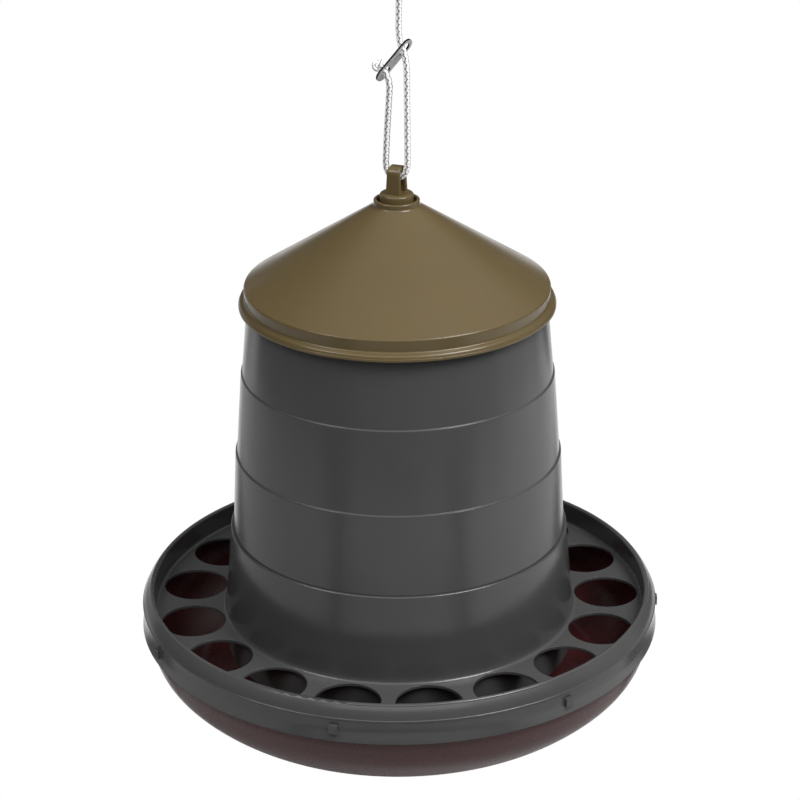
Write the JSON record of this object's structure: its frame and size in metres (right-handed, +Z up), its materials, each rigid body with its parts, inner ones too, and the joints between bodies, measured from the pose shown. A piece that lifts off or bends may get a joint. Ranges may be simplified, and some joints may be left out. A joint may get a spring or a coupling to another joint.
{
  "type": "poultry feeder",
  "caption": "Hanging poultry feeder: tapered hopper with a conical lid over a feed pan, a ring of head holes, and a rope with a steel length adjuster.",
  "frame": {"origin": "middle of the pan's flat base, on the surface it stands on", "axes": "+Z up along the hopper's axis; -Y towards the viewer of the picture"},
  "size_m": [0.4238, 0.4224, 0.6449],
  "materials": {
    "maroon_plastic": "injection-moulded, satin",
    "grey_plastic": "injection-moulded, satin",
    "khaki_plastic": "injection-moulded, satin",
    "zinc_steel": "zinc plated, dull",
    "white_rope": "braided polypropylene"
  },
  "bodies": {
    "root": {"feed_pan": "maroon_plastic", "feeder_base": "grey_plastic", "hopper": "grey_plastic", "lid": "khaki_plastic", "hanging_eye": "khaki_plastic", "centre_rod": "zinc_steel", "rod_top_nut": "zinc_steel", "rod_washer": "zinc_steel", "rod_nut": "zinc_steel", "rope_adjuster": "zinc_steel", "rope": "white_rope", "rope_end_knot": "white_rope", "rope_top_knot": "white_rope"}
  },
  "joints": []
}
